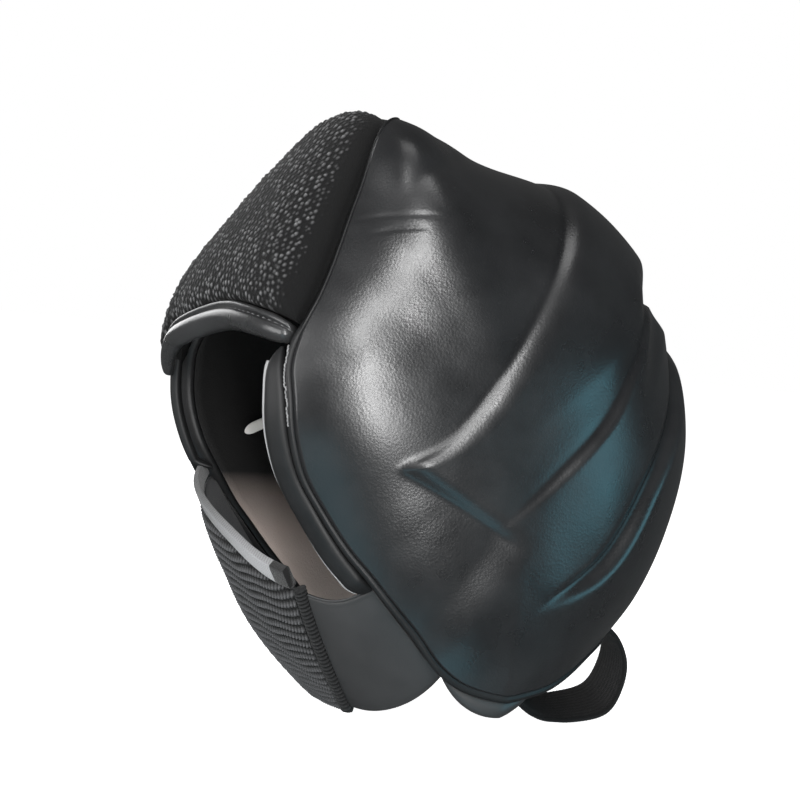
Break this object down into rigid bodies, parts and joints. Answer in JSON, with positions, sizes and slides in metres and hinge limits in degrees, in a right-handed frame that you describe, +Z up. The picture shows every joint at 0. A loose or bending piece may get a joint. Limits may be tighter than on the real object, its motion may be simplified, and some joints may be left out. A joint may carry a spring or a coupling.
{
  "type": "martial arts head guard",
  "caption": "Padded head guard with a moulded leather shell, overlapping lames, mesh brow pad, wrap-over chin strap and a webbing loop at the nape.",
  "frame": {"origin": "middle of the box round the guard, on the floor it stands on", "axes": "+Z up, the face opening looks along -Y, the wearer's left is +X"},
  "size_m": [0.2158, 0.2167, 0.2556],
  "materials": {
    "leather": "satin",
    "leather_edge": "satin",
    "spacer_mesh": "matte",
    "ribbed_knit": "matte",
    "ribbon": "matte",
    "webbing": "matte",
    "blank_tape": "matte"
  },
  "bodies": {
    "root": {"shell": "leather", "shell_rim": "leather_edge", "brow_pad": "spacer_mesh", "brow_binding": "leather_edge", "crown_binding": "leather_edge", "cheek_roll_left": "leather_edge", "cheek_roll_right": "leather_edge", "lip_left": "leather_edge", "lip_right": "leather_edge", "chin_strap": "ribbed_knit", "chin_binding": "ribbon", "strap_cord": "ribbed_knit", "jaw_tab": "leather", "nape_loop": "webbing", "inner_tongue": "blank_tape"}
  },
  "joints": []
}
